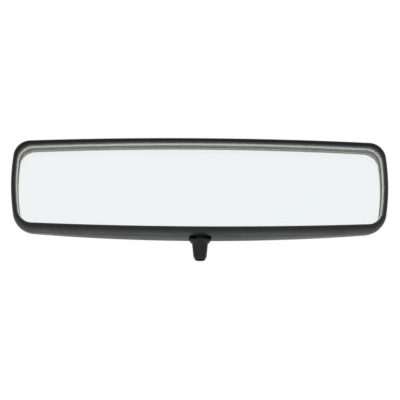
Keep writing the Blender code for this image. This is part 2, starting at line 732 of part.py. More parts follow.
def wedge_mesh(top_half, base_half, span, heights):
    """Trapezoid bar along Y: narrow at its top, wide at its base."""
    bm = box_mesh((-1, span[0], heights[0]), (1, span[1], heights[1]))
    middle = sum(heights) / 2
    for vert in bm.verts:
        vert.co.x *= top_half if vert.co.z > middle else base_half
    return bm


def windshield_button(frame, finish):
    span = (-BUTTON_HALF_LENGTH, BUTTON_HALF_LENGTH)
    bm = wedge_mesh(BUTTON_TOP_HALF, BUTTON_BASE_HALF, span, (-BUTTON_THICKNESS, 0))
    corners = [edge for edge in bm.edges if abs(edge.verts[0].co.z - edge.verts[1].co.z) > GAP]
    bmesh.ops.bevel(
        bm, geom=corners, offset=3 * MM, segments=3, profile=0.5, affect="EDGES")
    return finish_mesh("windshield_button", bm, frame, finish)


def channel_mount(frame, stud_frame, finish):
    """Casting with a dovetail channel that slides down over the button."""
    low_y, high_y = CASTING_Y
    bm = box_mesh(
        (-CASTING_HALF_WIDTH, low_y, CASTING_Z[0]), (CASTING_HALF_WIDTH, high_y, CASTING_Z[1]))
    bmesh.ops.bevel(
        bm, geom=bm.edges[:], offset=CASTING_BEVEL, segments=2, profile=0.5, affect="EDGES")
    casting = finish_mesh("channel_mount", bm, frame, finish)
    boss = rod_mesh(CASTING_BOSS_RADIUS, (0, 0, CASTING_BOSS[0]), (0, 0, CASTING_BOSS[1]), 24)
    boolean(casting, "UNION", finish_mesh("stud_boss", boss, stud_frame, None))
    channel = wedge_mesh(
        BUTTON_TOP_HALF + GAP, BUTTON_BASE_HALF + GAP,
        (low_y - BUTTON_HALF_LENGTH, BUTTON_HALF_LENGTH + GAP), (-BUTTON_THICKNESS - GAP, GAP),
    )
    boolean(casting, "DIFFERENCE", finish_mesh("channel", channel, frame, None))
    bore = rod_mesh(
        MOUNT_SHANK_RADIUS + GAP, (0, 0, MOUNT_FLANGE[0]), (0, 0, MOUNT_SHANK_END + GAP), 24)
    boolean(casting, "DIFFERENCE", finish_mesh("shank_bore", bore, stud_frame, None))
    hole = rod_mesh(
        SET_SCREW_RADIUS + GAP,
        (0, SET_SCREW_Y, CASTING_Z[0] - 1 * MM), (0, SET_SCREW_Y, -BUTTON_THICKNESS), 20,
    )
    boolean(casting, "DIFFERENCE", finish_mesh("screw_hole", hole, frame, None))
    return casting


def set_screw(frame, finish):
    """Cup-point grub screw that locks the channel on the button."""
    low, high = SET_SCREW_Z
    body = rod_mesh(SET_SCREW_RADIUS, (0, SET_SCREW_Y, low), (0, SET_SCREW_Y, high), 20)
    screw = finish_mesh("set_screw", body, frame, finish)
    socket = rod_mesh(
        SOCKET_RADIUS, (0, SET_SCREW_Y, low - 1 * MM), (0, SET_SCREW_Y, low + SOCKET_DEPTH), 6)
    boolean(screw, "DIFFERENCE", finish_mesh("hex_socket", socket, frame, None))
    return screw


# ---------------------------------------------------------------- assembly

def build():
    clear_scene()
    black = material("black_plastic", (0.02, 0.021, 0.02), 0.5)
    dark = material("dark_plastic", (0.03, 0.031, 0.03), 0.45)
    glass = material("clear_glass", (0.8, 0.88, 0.86), 0.02)
    silver = material("mirror_silver", (0.9, 0.92, 0.92), 0.03, 1.0)
    foam = material("foam", (0.06, 0.06, 0.065), 0.95)
    nylon = material("nylon", (0.75, 0.73, 0.66), 0.5)
    steel = material("zinc_steel", (0.55, 0.56, 0.57), 0.35, 1.0)
    spring = material("spring_steel", (0.4, 0.4, 0.42), 0.3, 1.0)
    coated = material("black_coated_metal", (0.025, 0.025, 0.027), 0.4, 0.5)
    sintered = material("sintered_metal", (0.3, 0.3, 0.31), 0.55, 1.0)

    head = empty("head_frame", HEAD_CENTRE)
    arm = empty("arm_frame", HEAD_BALL, ARM_RISE - math.pi / 2, head)
    stud = empty("mount_ball_frame", (0, 0, ARM_LENGTH), 0, arm)
    windshield = empty("windshield_frame", (0, 0, 0), -GLASS_SLOPE)

    bezel_ring(head, black)
    rear_housing(head, black)
    prism_glass(head, glass)
    silver_backing(head, silver)
    foam_pad(head, foam)
    carrier_plate(head, dark)
    carrier_screws(head, steel)
    tilt_pivot_rod(head, steel)
    lever_pivot_pin(head, steel)
    toggle_spring(head, spring)
    toggle_lever(head, dark)
    toggle_grip(head, black)

    pivot_bracket(head, steel)
    stud_nut(head, steel)
    head_ball_stud(head, steel)
    lower_liner = ball_liner("lower_ball_liner", head, nylon, -1)
    lower_liner.location = HEAD_BALL
    lower_liner.rotation_euler.x = ARM_RISE - math.pi / 2

    arm_tube(arm, coated)
    spring_plug("lower_plug", arm, sintered, (0, 0, 0), 0)
    arm_spring(arm, spring)
    spring_plug("upper_plug", arm, sintered, (0, 0, ARM_LENGTH), math.pi)
    ball_liner("upper_ball_liner", stud, nylon, 1)

    mount_ball_stud(stud, steel)
    channel_mount(windshield, stud, coated)
    set_screw(windshield, steel)
    windshield_button(windshield, sintered)


build()
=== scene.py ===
"""Looks of the interior rearview mirror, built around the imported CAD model.

Metres, +Z up. The glass faces -Y and the mirror's width runs along X. Pieces of the
head are drawn in the head's own frame, whose origin is the centre of the glass front.
"""

import json
import math
from collections import namedtuple

import bmesh
import bpy
from mathutils import Matrix, Vector


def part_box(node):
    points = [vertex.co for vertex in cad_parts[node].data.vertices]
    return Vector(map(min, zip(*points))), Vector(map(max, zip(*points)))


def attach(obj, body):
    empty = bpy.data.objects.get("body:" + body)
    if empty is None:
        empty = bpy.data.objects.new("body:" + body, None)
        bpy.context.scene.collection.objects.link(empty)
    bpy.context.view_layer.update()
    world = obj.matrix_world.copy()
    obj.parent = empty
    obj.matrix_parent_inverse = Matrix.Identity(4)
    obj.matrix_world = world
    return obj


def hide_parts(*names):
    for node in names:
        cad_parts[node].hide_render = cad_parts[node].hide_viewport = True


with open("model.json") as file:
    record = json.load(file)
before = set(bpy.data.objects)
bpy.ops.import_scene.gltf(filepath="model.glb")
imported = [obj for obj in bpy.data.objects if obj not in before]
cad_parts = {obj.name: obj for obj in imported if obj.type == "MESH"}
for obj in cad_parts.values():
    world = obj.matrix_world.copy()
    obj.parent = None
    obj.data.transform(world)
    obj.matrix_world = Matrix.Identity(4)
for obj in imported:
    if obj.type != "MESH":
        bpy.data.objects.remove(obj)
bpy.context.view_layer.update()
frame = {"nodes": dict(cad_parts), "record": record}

MM = 0.001
Outline = namedtuple(
    "Outline",
    "half_width top bottom top_radius bottom_radius top_crown bottom_crown side_crown",
)


def along(direction, origin):
    """Matrix of a frame at origin whose Z axis is direction."""
    return Matrix.Translation(origin) @ direction.to_track_quat("Z", "Y").to_matrix().to_4x4()


# ---------------------------------------------------------------- places, from the frame

GLASS_LOW, GLASS_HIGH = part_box("prism_glass")
BEZEL_LOW, BEZEL_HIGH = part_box("bezel_ring")
HOUSING_LOW, HOUSING_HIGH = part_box("rear_housing")
GRIP_LOW, GRIP_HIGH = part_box("toggle_grip")
JOINTS = {joint["name"]: joint for joint in frame["record"]["behaviour"]["joints"]}
HEAD_BALL = Vector(JOINTS["head_yaw"]["pos_m"])
HEAD = HEAD_BALL - Vector((0, 42, 4)) * MM
MOUNT_BALL = Vector(JOINTS["arm_yaw"]["pos_m"])
LEVER_AXIS = Vector(JOINTS["toggle_flip"]["pos_m"])
WINDSHIELD_NORMAL = Vector(frame["record"]["mounts"][0]["axis"])

GLASS_MARGIN = 1.4 * MM             # glass hidden behind the lip
OPENING = Outline(
    GLASS_HIGH[0] - GLASS_MARGIN - 0.3 * MM, GLASS_HIGH[2] - HEAD.z - GLASS_MARGIN,
    HEAD.z - GLASS_LOW[2] - GLASS_MARGIN + 0.2 * MM,
    *(value * MM for value in (10.2, 9.5, 2350, 3000, 130)),
)
RIM = Outline(
    BEZEL_HIGH[0], BEZEL_HIGH[2] - HEAD.z, HEAD.z - BEZEL_LOW[2],
    *(value * MM for value in (11.3, 12.5, 2800, 3000, 135)),
)
BELLY = Outline(
    HOUSING_HIGH[0], HOUSING_HIGH[2] - HEAD.z, HEAD.z - HOUSING_LOW[2],
    *(value * MM for value in (10.5, 13.5, 2500, 1460, 135)),
)
LIP_FRONT = BEZEL_LOW[1] - HEAD.y
RIM_Y = 6.2 * MM
SEAM = 0.3 * MM                     # open line between bezel and housing
SIDE_RISE = 3 * MM                  # the sides bulge most above mid height
LONG_STEPS = 22                     # segments of half a top or bottom edge
CORNER_STEPS = 14
SIDE_STEPS = 10
SLIVER = 0.004 * MM                 # Boolean leftovers shorter than this are merged

BELLY_Y = 16.5 * MM                 # depth of the housing's widest section
DOME_DEPTH = HOUSING_HIGH[1] - HEAD.y - BELLY_Y
DOME_INSET = 26 * MM
DOME_POWER = 2.6
DOME_CORNER = 6.5 * MM
WALL = 2.2 * MM
REBATE = 1.2 * MM                   # thickness of the housing's rim
EDGE = 0.25 * MM                    # softened edges of the rims and the glass
SLOT_RADIUS = 7.5 * MM              # slot that the lever swings in
SLOT_FRONT = 9.6 * MM
SLOT_BACK = 14 * MM

BALL_RADIUS = (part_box("head_ball_stud")[1][0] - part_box("head_ball_stud")[0][0]) / 2
CUP_RADIUS = (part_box("arm_tube")[1][0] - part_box("arm_tube")[0][0]) / 2
NECK = 2.8 * MM
ARM_LENGTH = (MOUNT_BALL - HEAD_BALL).length
ARM_FRAME = along(MOUNT_BALL - HEAD_BALL, HEAD_BALL)
MOUNT_STUD_FRAME = Matrix.Translation(MOUNT_BALL - HEAD_BALL) @ ARM_FRAME
MOUNT_FRAME = Matrix.Rotation(-math.acos(WINDSHIELD_NORMAL.z), 4, "X")
BUTTON_THICKNESS = 4.5 * MM
SET_SCREW_Y = 9 * MM


# ---------------------------------------------------------------- outlines and lofts

def grown(outline, margin):
    """The same outline, moved outward by margin."""
    return Outline(*(value + margin for value in outline))


def mixed(first, second, share):
    """Outline at share of the way from first to second."""
    return Outline(*(a + (b - a) * share for a, b in zip(first, second)))


def corner_centre(side, side_radius, edge, edge_radius):
    """Centre of the corner arc that touches a side arc and a top or bottom arc."""
    span = edge - side
    gap = span.length
    forward = (gap ** 2 + side_radius ** 2 - edge_radius ** 2) / (2 * gap)
    across = math.sqrt(side_radius ** 2 - forward ** 2)
    direction = span / gap
    sideways = Vector((abs(direction.y), -direction.x * math.copysign(1, direction.y)))
    return side + direction * forward + sideways * across


def arc(centre, radius, start, end, steps):
    """Points along an arc, without its last one."""
    angles = [start + (end - start) * i / steps for i in range(steps)]
    return [(centre.x + radius * math.cos(a), centre.y + radius * math.sin(a)) for a in angles]


def heading(start, end):
    """Angle of the line from start to end."""
    run = end - start
    return math.atan2(run.y, run.x)


def outline_loop(outline, depth):
    """Closed loop at the given depth behind the glass front, or depth(z)."""
    bulge = (outline.top - outline.bottom) / 2 + SIDE_RISE
    side = Vector((outline.half_width - outline.side_crown, bulge))
    top = Vector((0, outline.top - outline.top_crown))
    bottom = Vector((0, outline.bottom_crown - outline.bottom))
    upper = corner_centre(
        side, outline.side_crown - outline.top_radius,
        top, outline.top_crown - outline.top_radius)
    lower = corner_centre(
        side, outline.side_crown - outline.bottom_radius,
        bottom, outline.bottom_crown - outline.bottom_radius)
    turns = (
        -math.pi / 2, heading(bottom, lower), heading(side, lower),
        heading(side, upper), heading(top, upper), math.pi / 2,
    )
    right = arc(bottom, outline.bottom_crown, turns[0], turns[1], LONG_STEPS)
    right += arc(lower, outline.bottom_radius, turns[1], turns[2], CORNER_STEPS)
    right += arc(side, outline.side_crown, turns[2], turns[3], SIDE_STEPS)
    right += arc(upper, outline.top_radius, turns[3], turns[4], CORNER_STEPS)
    right += arc(top, outline.top_crown, turns[4], turns[5], LONG_STEPS)
    loop = right + [(0, outline.top)] + [(-x, z) for x, z in reversed(right[1:])]
    depth_at = depth if callable(depth) else lambda z: depth
    return [HEAD + Vector((x, depth_at(z), z)) for x, z in loop]


def finished(name, bm, *materials, sharp=40):
    """An object from a bmesh, shaded smooth up to the sharp angle in degrees."""
    bmesh.ops.recalc_face_normals(bm, faces=bm.faces)
    mesh = bpy.data.meshes.new(name)
    bm.to_mesh(mesh)
    bm.free()
    mesh.shade_smooth()
    mesh.set_sharp_from_angle(angle=math.radians(sharp))
    for item in materials:
        mesh.materials.append(item)
    made = bpy.data.objects.new(name, mesh)
    bpy.context.collection.objects.link(made)
    return made


def placed(name, bm, place, *materials):
    """As finished, with the shape moved to its place first."""
    bmesh.ops.transform(bm, matrix=place, verts=bm.verts)
    return finished(name, bm, *materials)


def loft(loops, closed=False, bands=()):
    """Skin matching loops; bands gives the material index of each strip."""
    bm = bmesh.new()
    rings = [[bm.verts.new(point) for point in loop] for loop in loops]
    following = rings[1:] + rings[:1] if closed else rings[1:]
    for strip, (ring, other) in enumerate(zip(rings, following)):
        for i in range(len(ring)):
            face = bm.faces.new((ring[i - 1], ring[i], other[i], other[i - 1]))
            face.material_index = bands[strip] if bands else 0
    return bm, rings


def turned(profile, steps, closed=False):
    """Spin a (radius, height) profile about Z."""
    bm = bmesh.new()
    verts = [bm.verts.new((radius, 0, height)) for radius, height in profile]
    edges = [bm.edges.new(pair) for pair in zip(verts, verts[1:])]
    if closed:
        edges.append(bm.edges.new((verts[-1], verts[0])))
    bmesh.ops.spin(
        bm, geom=verts + edges, cent=(0, 0, 0), axis=(0, 0, 1),
        angle=math.tau, steps=steps, use_merge=True)
    bmesh.ops.remove_doubles(bm, verts=bm.verts, dist=0.001 * MM)
    return bm


# ---------------------------------------------------------------- materials

def new_material(name, colour, roughness, metallic=0.0):
    """A Principled material, with its node tree, its shader and object coordinates."""
    made = bpy.data.materials.new(name)
    made.use_nodes = True
    tree = made.node_tree
    shader = tree.nodes["Principled BSDF"]
    shader.inputs["Base Color"].default_value = (*colour, 1)
    shader.inputs["Roughness"].default_value = roughness
    shader.inputs["Metallic"].default_value = metallic
    where = tree.nodes.new("ShaderNodeTexCoord").outputs["Object"]
    return made, tree, shader, where


def noise(tree, where, scale, detail=3.0, stretch=None):
    """Noise over the piece, optionally stretched along an axis."""
    if stretch:
        mapping = tree.nodes.new("ShaderNodeMapping")
        mapping.inputs["Scale"].default_value = stretch
        tree.links.new(where, mapping.inputs["Vector"])
        where = mapping.outputs["Vector"]
    node = tree.nodes.new("ShaderNodeTexNoise")
    node.inputs["Scale"].default_value = scale
    node.inputs["Detail"].default_value = detail
    tree.links.new(where, node.inputs["Vector"])
    return node.outputs["Fac"]


def spread(tree, value, low, high, start=0.0, end=1.0):
    """Map value from start..end to low..high."""
    node = tree.nodes.new("ShaderNodeMapRange")
    node.inputs["From Min"].default_value = start
    node.inputs["From Max"].default_value = end
    node.inputs["To Min"].default_value = low
    node.inputs["To Max"].default_value = high
    tree.links.new(value, node.inputs["Value"])
    return node.outputs["Result"]


def tinted(tree, value, low, high, start=0.3, end=0.7):
    """A colour between low and high, by value."""
    ramp = tree.nodes.new("ShaderNodeValToRGB")
    ramp.color_ramp.elements[0].position = start
    ramp.color_ramp.elements[1].position = end
    ramp.color_ramp.elements[0].color = (*low, 1)
    ramp.color_ramp.elements[1].color = (*high, 1)
    tree.links.new(value, ramp.inputs["Fac"])
    return ramp.outputs["Color"]


def bump(tree, shader, *layers):
    """Stack bump layers, each (height, distance, strength)."""
    normal = None
    for height, distance, strength in layers:
        node = tree.nodes.new("ShaderNodeBump")
        node.inputs["Distance"].default_value = distance
        node.inputs["Strength"].default_value = strength
        tree.links.new(height, node.inputs["Height"])
        if normal:
            tree.links.new(normal, node.inputs["Normal"])
        normal = node.outputs["Normal"]
    tree.links.new(normal, shader.inputs["Normal"])


def moulded_plastic(name, dark, light, roughness, grain=0.03 * MM, pitch=2600, specular=0.5):
    """Plastic with a moulded grain, a mottled tone and patches of other gloss."""
    made, tree, shader, where = new_material(name, dark, roughness)
    shader.inputs["Specular IOR Level"].default_value = specular
    patches = noise(tree, where, 45, 4)
    colour = tinted(tree, noise(tree, where, pitch / 2, 2), dark, light)
    tree.links.new(colour, shader.inputs["Base Color"])
    rough = spread(tree, patches, roughness - 0.06, roughness + 0.06, 0.3, 0.7)
    tree.links.new(rough, shader.inputs["Roughness"])
    bump(tree, shader,
         (noise(tree, where, pitch, 3), grain, 0.6),
         (noise(tree, where, pitch / 6, 2), 2 * grain, 0.25))
    return made


def metal(name, dark, light, roughness, scale=900, stretch=None, relief=0.01 * MM):
    """Plated, coated or drawn metal with fine lines and a cloudy tone."""
    made, tree, shader, where = new_material(name, dark, roughness, 1.0)
    colour = tinted(tree, noise(tree, where, scale / 6, 4), dark, light)
    tree.links.new(colour, shader.inputs["Base Color"])
    fine = noise(tree, where, scale, 4, stretch)
    tree.links.new(
        spread(tree, fine, roughness - 0.08, roughness + 0.08, 0.3, 0.7),
        shader.inputs["Roughness"])
    bump(tree, shader, (fine, relief, 0.5))
    return made


def clear_glass():
    """Clear glass with a trace of haze."""
    made, tree, shader, where = new_material("prism_glass_clear", (0.985, 0.995, 0.99), 0.0)
    shader.inputs["Transmission Weight"].default_value = 1.0
    shader.inputs["IOR"].default_value = 1.52
    haze = spread(tree, noise(tree, where, 30, 4), 0.0, 0.012, 0.35, 0.8)
    tree.links.new(haze, shader.inputs["Roughness"])
    return made


def silvering():
    """The reflecting coat behind the glass."""
    made, tree, shader, where = new_material("silver_coat", (0.9, 0.93, 0.93), 0.0, 1.0)
    tone = tinted(tree, noise(tree, where, 12, 2), (0.895, 0.925, 0.935), (0.91, 0.935, 0.95))
    tree.links.new(tone, shader.inputs["Base Color"])
    return made


def ground_edge():
    """Frosted, pale green edge of the cut glass."""
    made, tree, shader, where = new_material("ground_glass_edge", (0.7, 0.76, 0.62), 0.6)
    tone = tinted(tree, noise(tree, where, 400, 4), (0.72, 0.76, 0.64), (0.82, 0.85, 0.75))
    tree.links.new(tone, shader.inputs["Base Color"])
    bump(tree, shader, (noise(tree, where, 3000, 3), 0.03 * MM, 0.5))
    return made


# ---------------------------------------------------------------- the head

def slot_cutter(mouth, top, flare):
    """Round-ended slot that the lever swings in, widening towards its mouth."""
    heights = (
        (mouth - 2 * MM, flare), (mouth - flare, flare), (mouth - flare / 2, flare * 0.87),
        (mouth, flare / 2), (mouth + flare / 2, flare * 0.13), (mouth + flare, 0), (top, 0),
    )
    loops = []
    for height, extra in heights:
        loop = []
        for middle, start in ((SLOT_BACK, 0.0), (SLOT_FRONT, math.pi)):
            for i in range(33):
                turn = start + math.pi * i / 32
                x = (SLOT_RADIUS + extra) * math.cos(turn)
                y = middle + (SLOT_RADIUS + extra) * math.sin(turn)
                loop.append(HEAD + Vector((x, y, height)))
        loops.append(loop)
    bm, rings = loft(loops)
    bm.faces.new(rings[0])
    bm.faces.new(rings[-1])
    return finished("slot_cutter", bm)


def bezel(material, gloss, pale):
    """Front frame: pale strip by the glass with a painted reflection of the frosted glass edge,
    glossy nose, long curved face, softened rim.
    """
    crest_out = 0.95 * MM
    nose = 0.5 * MM
    wall_front = LIP_FRONT + nose
    crest = grown(OPENING, crest_out)
    # ledge 0.5 mm into the opening, pale with a painted reflection of the frosted glass edge
    painted_reflection_ledge = grown(OPENING, -0.5 * MM)
    loops = [
        outline_loop(painted_reflection_ledge, -0.15 * MM), outline_loop(painted_reflection_ledge, -0.3 * MM),
        outline_loop(OPENING, -0.5 * MM), outline_loop(OPENING, -2.6 * MM),
        outline_loop(OPENING, wall_front),
    ]
    nose_steps = 6
    for step in range(1, nose_steps + 1):
        turn = math.pi / 2 * step / nose_steps
        out = crest_out * (1 - math.cos(turn))
        loops.append(outline_loop(grown(OPENING, out), wall_front - nose * math.sin(turn)))
    steps = 16
    for step in range(1, steps + 1):
        turn = math.pi / 2 * step / steps
        depth = LIP_FRONT + (RIM_Y - EDGE - LIP_FRONT) * (1 - math.cos(turn))
        loops.append(outline_loop(mixed(crest, RIM, math.sin(turn)), depth))
    tongue = grown(OPENING, 2.3 * MM)
    pocket = grown(OPENING, 1.7 * MM)
    loops += [
        outline_loop(grown(RIM, -0.07 * MM), RIM_Y - 0.07 * MM),
        outline_loop(grown(RIM, -EDGE), RIM_Y),
        outline_loop(tongue, RIM_Y), outline_loop(tongue, RIM_Y + 2 * MM),
        outline_loop(pocket, RIM_Y + 2 * MM), outline_loop(pocket, -0.15 * MM),
    ]
    # strips: pale by the glass and pale against the glass, both a painted reflection of the frosted
    # glass edge on the black frame; gloss round the nose, black outside
    bands = [2, 2, 2] + [1] * nose_steps
    bands += [0] * (len(loops) - len(bands) - 1) + [2]
    bm, _ = loft(loops, closed=True, bands=bands)
    piece = finished("bezel_frame", bm, material, gloss, pale)
    carved(piece, slot_cutter(BEZEL_LOW[2] - HEAD.z, -30.4 * MM, 0.5 * MM))
    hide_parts("bezel_ring")
    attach(piece, "head")


def glass(clear, silver, frosted):
    """Prism of clear glass with ground edges; its back face carries the silver."""
    margin = 0.3 * MM
    middle = (GLASS_HIGH[1] - GLASS_LOW[1]) - 1.0 * MM
    taper = math.tan(math.radians(1.95))
    outer = grown(OPENING, margin)
    inner = grown(outer, -EDGE)
    loops = [
        outline_loop(inner, 0),
        outline_loop(outer, EDGE),
        outline_loop(outer, lambda z: middle + z * taper),
    ]
    bm, rings = loft(loops, bands=(1, 1))
    bm.faces.new(rings[0]).material_index = 0
    bm.faces.new(rings[-1]).material_index = 2
    piece = finished("prism_mirror_glass", bm, clear, frosted, silver, sharp=20)
    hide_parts("prism_glass")
    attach(piece, "head")


def wall_outline(depth):
    """Outer outline of the housing between the parting line and its widest section."""
    share = (depth - RIM_Y) / (BELLY_Y - RIM_Y)
    return mixed(RIM, BELLY, math.sin(share * math.pi / 2))


def dome_loop(wall, share):
    """One loop of the domed back: share runs from the belly to the flat centre."""
    outline = grown(BELLY, -wall)
    inset = (DOME_INSET - wall) * share
    shrunk = outline._replace(
        half_width=outline.half_width - inset - 90 * inset ** 2,
        top=outline.top - inset, bottom=outline.bottom - inset,
        top_radius=outline.top_radius + (DOME_CORNER - outline.top_radius) * share,
        bottom_radius=outline.bottom_radius + (DOME_CORNER - outline.bottom_radius) * share,
    )
    rise = (1 - (1 - share) ** DOME_POWER) ** (1 / DOME_POWER)
    return outline_loop(shrunk, BELLY_Y + (DOME_DEPTH - wall) * rise)


def carved(piece, *cutters, operation="DIFFERENCE"):
    """Apply Boolean cuts, then drop the cutters."""
    for cutter in cutters:
        step = piece.modifiers.new(cutter.name, "BOOLEAN")
        step.operation = operation
        step.solver = "EXACT"
        step.object = cutter
    bpy.context.view_layer.update()
    shape = piece.evaluated_get(bpy.context.evaluated_depsgraph_get())
    cut = bpy.data.meshes.new_from_object(shape)
    bm = bmesh.new()
    bm.from_mesh(cut)
    bmesh.ops.remove_doubles(bm, verts=bm.verts, dist=SLIVER)
    bmesh.ops.dissolve_degenerate(bm, edges=bm.edges, dist=SLIVER)
    bm.to_mesh(cut)
    bm.free()
    piece.modifiers.clear()
    piece.data = cut
    cut.shade_smooth()
    cut.set_sharp_from_angle(angle=math.radians(35))
    for cutter in cutters:
        bpy.data.objects.remove(cutter, do_unlink=True)
    return piece


def opening_cutter():
    """Round opening for the ball stud, with a shallow ring step around it."""
    radius = 7 * MM
    profile = (
        (0, -9 * MM), (radius, -9 * MM), (radius, -1.5 * MM), (radius + 0.5 * MM, -MM),
        (10.2 * MM, -MM), (10.6 * MM, -0.6 * MM), (10.9 * MM, -0.1 * MM), (11.4 * MM, 0.1 * MM),
        (11.4 * MM, 2 * MM), (0, 2 * MM),
    )
    centre = Matrix.Translation((0, HOUSING_HIGH[1], HEAD_BALL.z))
    place = centre @ Matrix.Rotation(-math.pi / 2, 4, "X")
    return placed("opening_cutter", turned(profile, 72), place)


def housing(material):
    """Domed rear shell with a softened rim, the arm's opening and the lever's slot."""
    front = RIM_Y + SEAM
    wall_steps = 8
    outside = [dome_loop(0, (step / 18) ** 1.6) for step in range(18, 0, -1)]
    for step in range(wall_steps, 0, -1):
        depth = front + EDGE + (BELLY_Y - front - EDGE) * step / wall_steps
        outside.append(outline_loop(wall_outline(depth), depth))
    outside += [
        outline_loop(wall_outline(front + EDGE), front + EDGE),
        outline_loop(grown(wall_outline(front), -0.07 * MM), front + 0.07 * MM),
        outline_loop(grown(wall_outline(front), -EDGE), front),
    ]
    rebate_end = 8.6 * MM
    inside = [
        outline_loop(grown(wall_outline(front), -REBATE), front),
        outline_loop(grown(wall_outline(rebate_end), -REBATE), rebate_end),
        outline_loop(grown(wall_outline(rebate_end), -WALL), rebate_end),
        outline_loop(grown(BELLY, -WALL), BELLY_Y),
    ]
    inside += [dome_loop(WALL, (step / 8) ** 1.6) for step in range(1, 9)]
    bm, rings = loft(outside + inside)
    bm.faces.new(rings[0])
    bm.faces.new(rings[-1])
    piece = finished("rear_shell", bm, material)
    mouth = HOUSING_LOW[2] - HEAD.z
    carved(piece, slot_cutter(mouth, -29 * MM, 0.7 * MM), opening_cutter())
    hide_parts("rear_housing")
    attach(piece, "head")


def grip(material):
    """Collar and fluted finger tab; its slanted end is hollow."""
    flutes = 12
    around = 144
    low = GRIP_LOW[2] - HEAD.z
    # radius, height and flute depth in mm, from the pocket's floor over the collar to the end
    sections = (
        (0.2, -41.6, 0), (3.3, -41.6, 0), (3.3, -32.9, 0), (6.2, -32.9, 0), (6.9, -32.98, 0),
        (7.15, -33.2, 0), (7.2, -33.5, 0), (7.15, -34.0, 0), (6.85, -34.7, 0), (6.2, -35.4, 0),
        (5.6, -35.9, 0), (5.4, -36.2, 0.06), (5.33, -36.8, 0.25), (4.6, -43.6, 0.25),
        (4.52, -44.2, 0.18), (4.48, -44.45, 0), (4.4, -44.6, 0), (3.85, -45.9, 0),
        (3.4, -46.7, 0), (2.9, -47.2, 0), (2.2, -47.5, 0), (1.0, -47.65, 0), (0.2, -47.7, 0),
    )
    axis = HEAD + Vector((0, LEVER_AXIS.y - HEAD.y, 0))
    loops = []
    for radius, height, depth in sections:
        loop = []
        for i in range(around):
            turn = math.tau * i / around
            reach = radius - depth * abs(math.cos(flutes * turn / 2)) ** 1.5
            point = Vector((reach * math.cos(turn), reach * math.sin(turn), height))
            loop.append(axis + point * MM)
        loops.append(loop)
    bm, rings = loft(loops)
    bm.faces.new(rings[0])
    bm.faces.new(rings[-1])
    piece = finished("finger_tab", bm, material, sharp=30)
    end = Matrix.Translation(axis + Vector((0, 0, low + 0.5 * MM))) @ Matrix.Rotation(
        math.radians(-14), 4, "X")
    hollow = ((0, -4 * MM), (6 * MM, -4 * MM), (6 * MM, 0), (3 * MM, 0), (2.8 * MM, 0.2 * MM),
              (2.7 * MM, 2.6 * MM), (0, 2.6 * MM))
    carved(piece, placed("end_cutter", turned(hollow, 64), end))
    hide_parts("toggle_grip")
    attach(piece, "lever")


# ---------------------------------------------------------------- arm and mount

def arc_profile(radius, start, end, steps):
    """(radius, height) points of a sphere's outline, by angle from its +Z pole."""
    angles = [start + (end - start) * i / steps for i in range(steps + 1)]
    return [(radius * math.sin(a), radius * math.cos(a)) for a in angles]


def eased(share):
    """Smooth step from 0 to 1."""
    return (1 - math.cos(math.pi * share)) / 2


def arm_sleeve(material):
    """Two cups and a waisted tube between them, open through its middle."""
    seat = BALL_RADIUS + 1.2 * MM
    mouth_angle = math.radians(65)
    bore = 6.2 * MM
    waist = 8.6 * MM
    seat_arc = arc_profile(seat, mouth_angle, math.pi - math.asin(bore / seat), 18)
    lower = [(radius, -height) for radius, height in seat_arc]
    upper = [(radius, ARM_LENGTH + height) for radius, height in reversed(seat_arc)]
    mouth = -seat * math.cos(mouth_angle)
    mouth_radius = seat * math.sin(mouth_angle)
    half = [(mouth_radius + 0.25 * MM, mouth), (CUP_RADIUS - 1.2 * MM, mouth)]
    half += [
        (CUP_RADIUS - 1.2 * MM + 1.2 * MM * math.sin(turn), mouth + 1.2 * MM * (1 - math.cos(turn)))
        for turn in (math.pi / 2 * i / 6 for i in range(1, 7))
    ]
    groove = CUP_RADIUS - 0.35 * MM
    half += [
        (CUP_RADIUS, 2 * MM), (groove, 2.4 * MM), (groove, 3.0 * MM),
        (CUP_RADIUS, 3.4 * MM), (CUP_RADIUS, 6.5 * MM),
    ]
    half += [
        (CUP_RADIUS + (waist - CUP_RADIUS) * eased(i / 12), (6.5 + 7.5 * i / 12) * MM)
        for i in range(1, 13)
    ]
    outside = [(radius, ARM_LENGTH - height) for radius, height in half]
    outside += [(radius, height) for radius, height in reversed(half)]
    rings = turned(lower + upper + outside, 96, closed=True)
    piece = placed("arm_sleeve", rings, ARM_FRAME, material)
    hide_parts("arm_tube")
    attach(piece, "arm")


def neck_and_ball():
    """Ball outline from its far pole to a filleted neck."""
    points = [(0, -BALL_RADIUS)]
    angle = math.asin(NECK / BALL_RADIUS) + math.radians(6)
    points += arc_profile(BALL_RADIUS, math.pi, angle, 40)[1:]
    last_radius, last_height = points[-1]
    points.append((NECK + (last_radius - NECK) * 0.35, last_height + 0.35 * MM))
    points.append((NECK, last_height + MM))
    return points


def head_stud(material):
    """Polished ball on a neck, with a shoulder that sits behind the bracket."""
    reach = HEAD_BALL.y - HEAD.y
    shoulder = reach - 18 * MM
    seat = reach - 15.8 * MM
    profile = neck_and_ball() + [
        (NECK, shoulder - 0.8 * MM), (NECK + 0.3 * MM, shoulder - 0.2 * MM),
        (NECK + 0.9 * MM, shoulder), (4.6 * MM, shoulder), (5 * MM, shoulder + 0.4 * MM),
        (5 * MM, seat), (2.2 * MM, seat), (2.2 * MM, reach - 11.8 * MM),
        (1.8 * MM, reach - 11.4 * MM), (0, reach - 11.4 * MM),
    ]
    place = along(Vector((0, -1, 0)), HEAD_BALL)
    piece = placed("head_stud", turned(profile, 72), place, material)
    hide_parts("head_ball_stud")
    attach(piece, "ball_stud")


